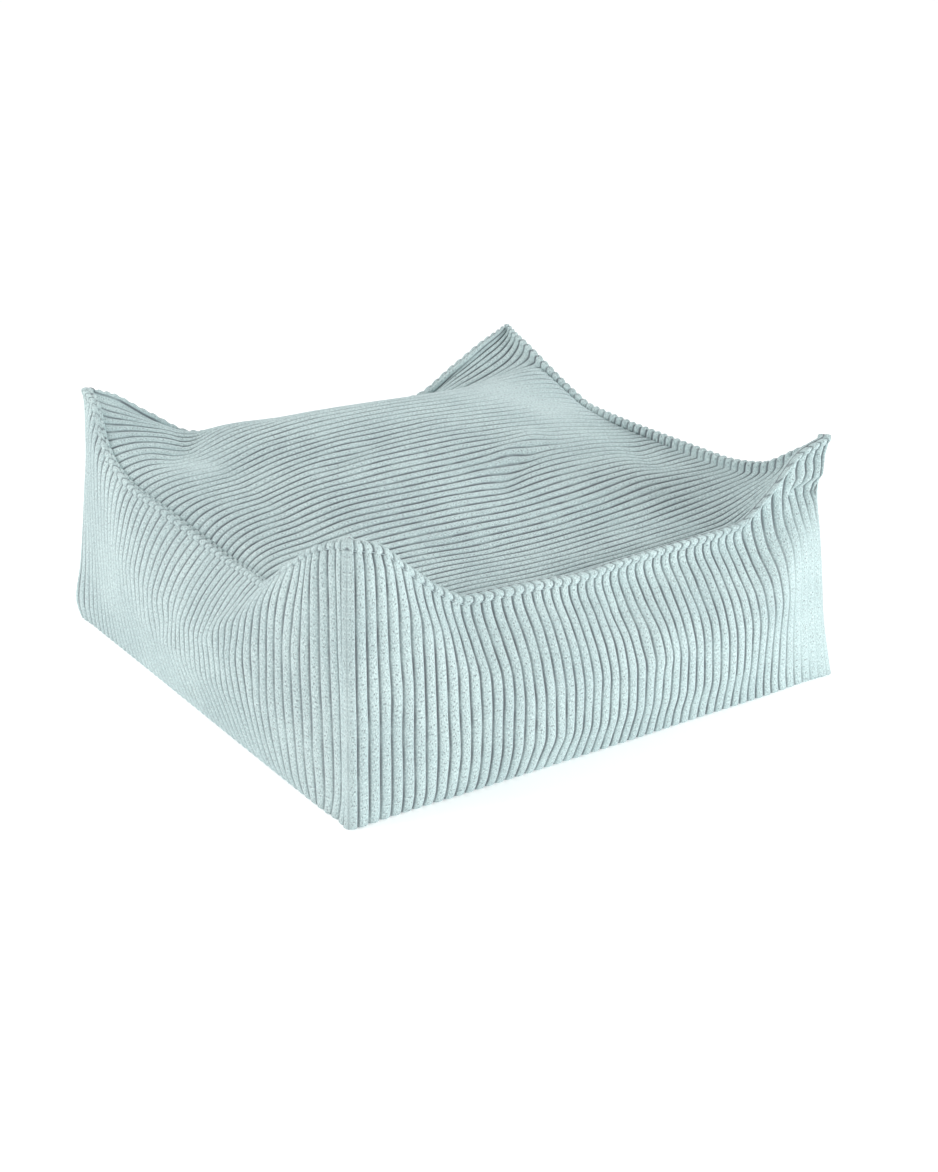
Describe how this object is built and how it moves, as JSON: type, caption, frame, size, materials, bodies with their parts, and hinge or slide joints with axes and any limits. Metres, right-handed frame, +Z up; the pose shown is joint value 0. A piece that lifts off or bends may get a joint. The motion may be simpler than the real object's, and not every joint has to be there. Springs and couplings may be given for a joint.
{
  "type": "square floor pouf",
  "caption": "Square filled floor pouf in wide corduroy, with a crowned top, low rolled rims and pinched corner ears.",
  "frame": {"origin": "middle of the bounding box's underside, where the flat base rests", "axes": "+Z up, +X to the right along the front side, -Y towards the front"},
  "size_m": [0.6525, 0.642, 0.272],
  "materials": {
    "aqua_corduroy": "soft wide-wale corduroy pile, matt with a faint sheen"
  },
  "bodies": {
    "root": {"pouf": "aqua_corduroy"}
  },
  "joints": []
}
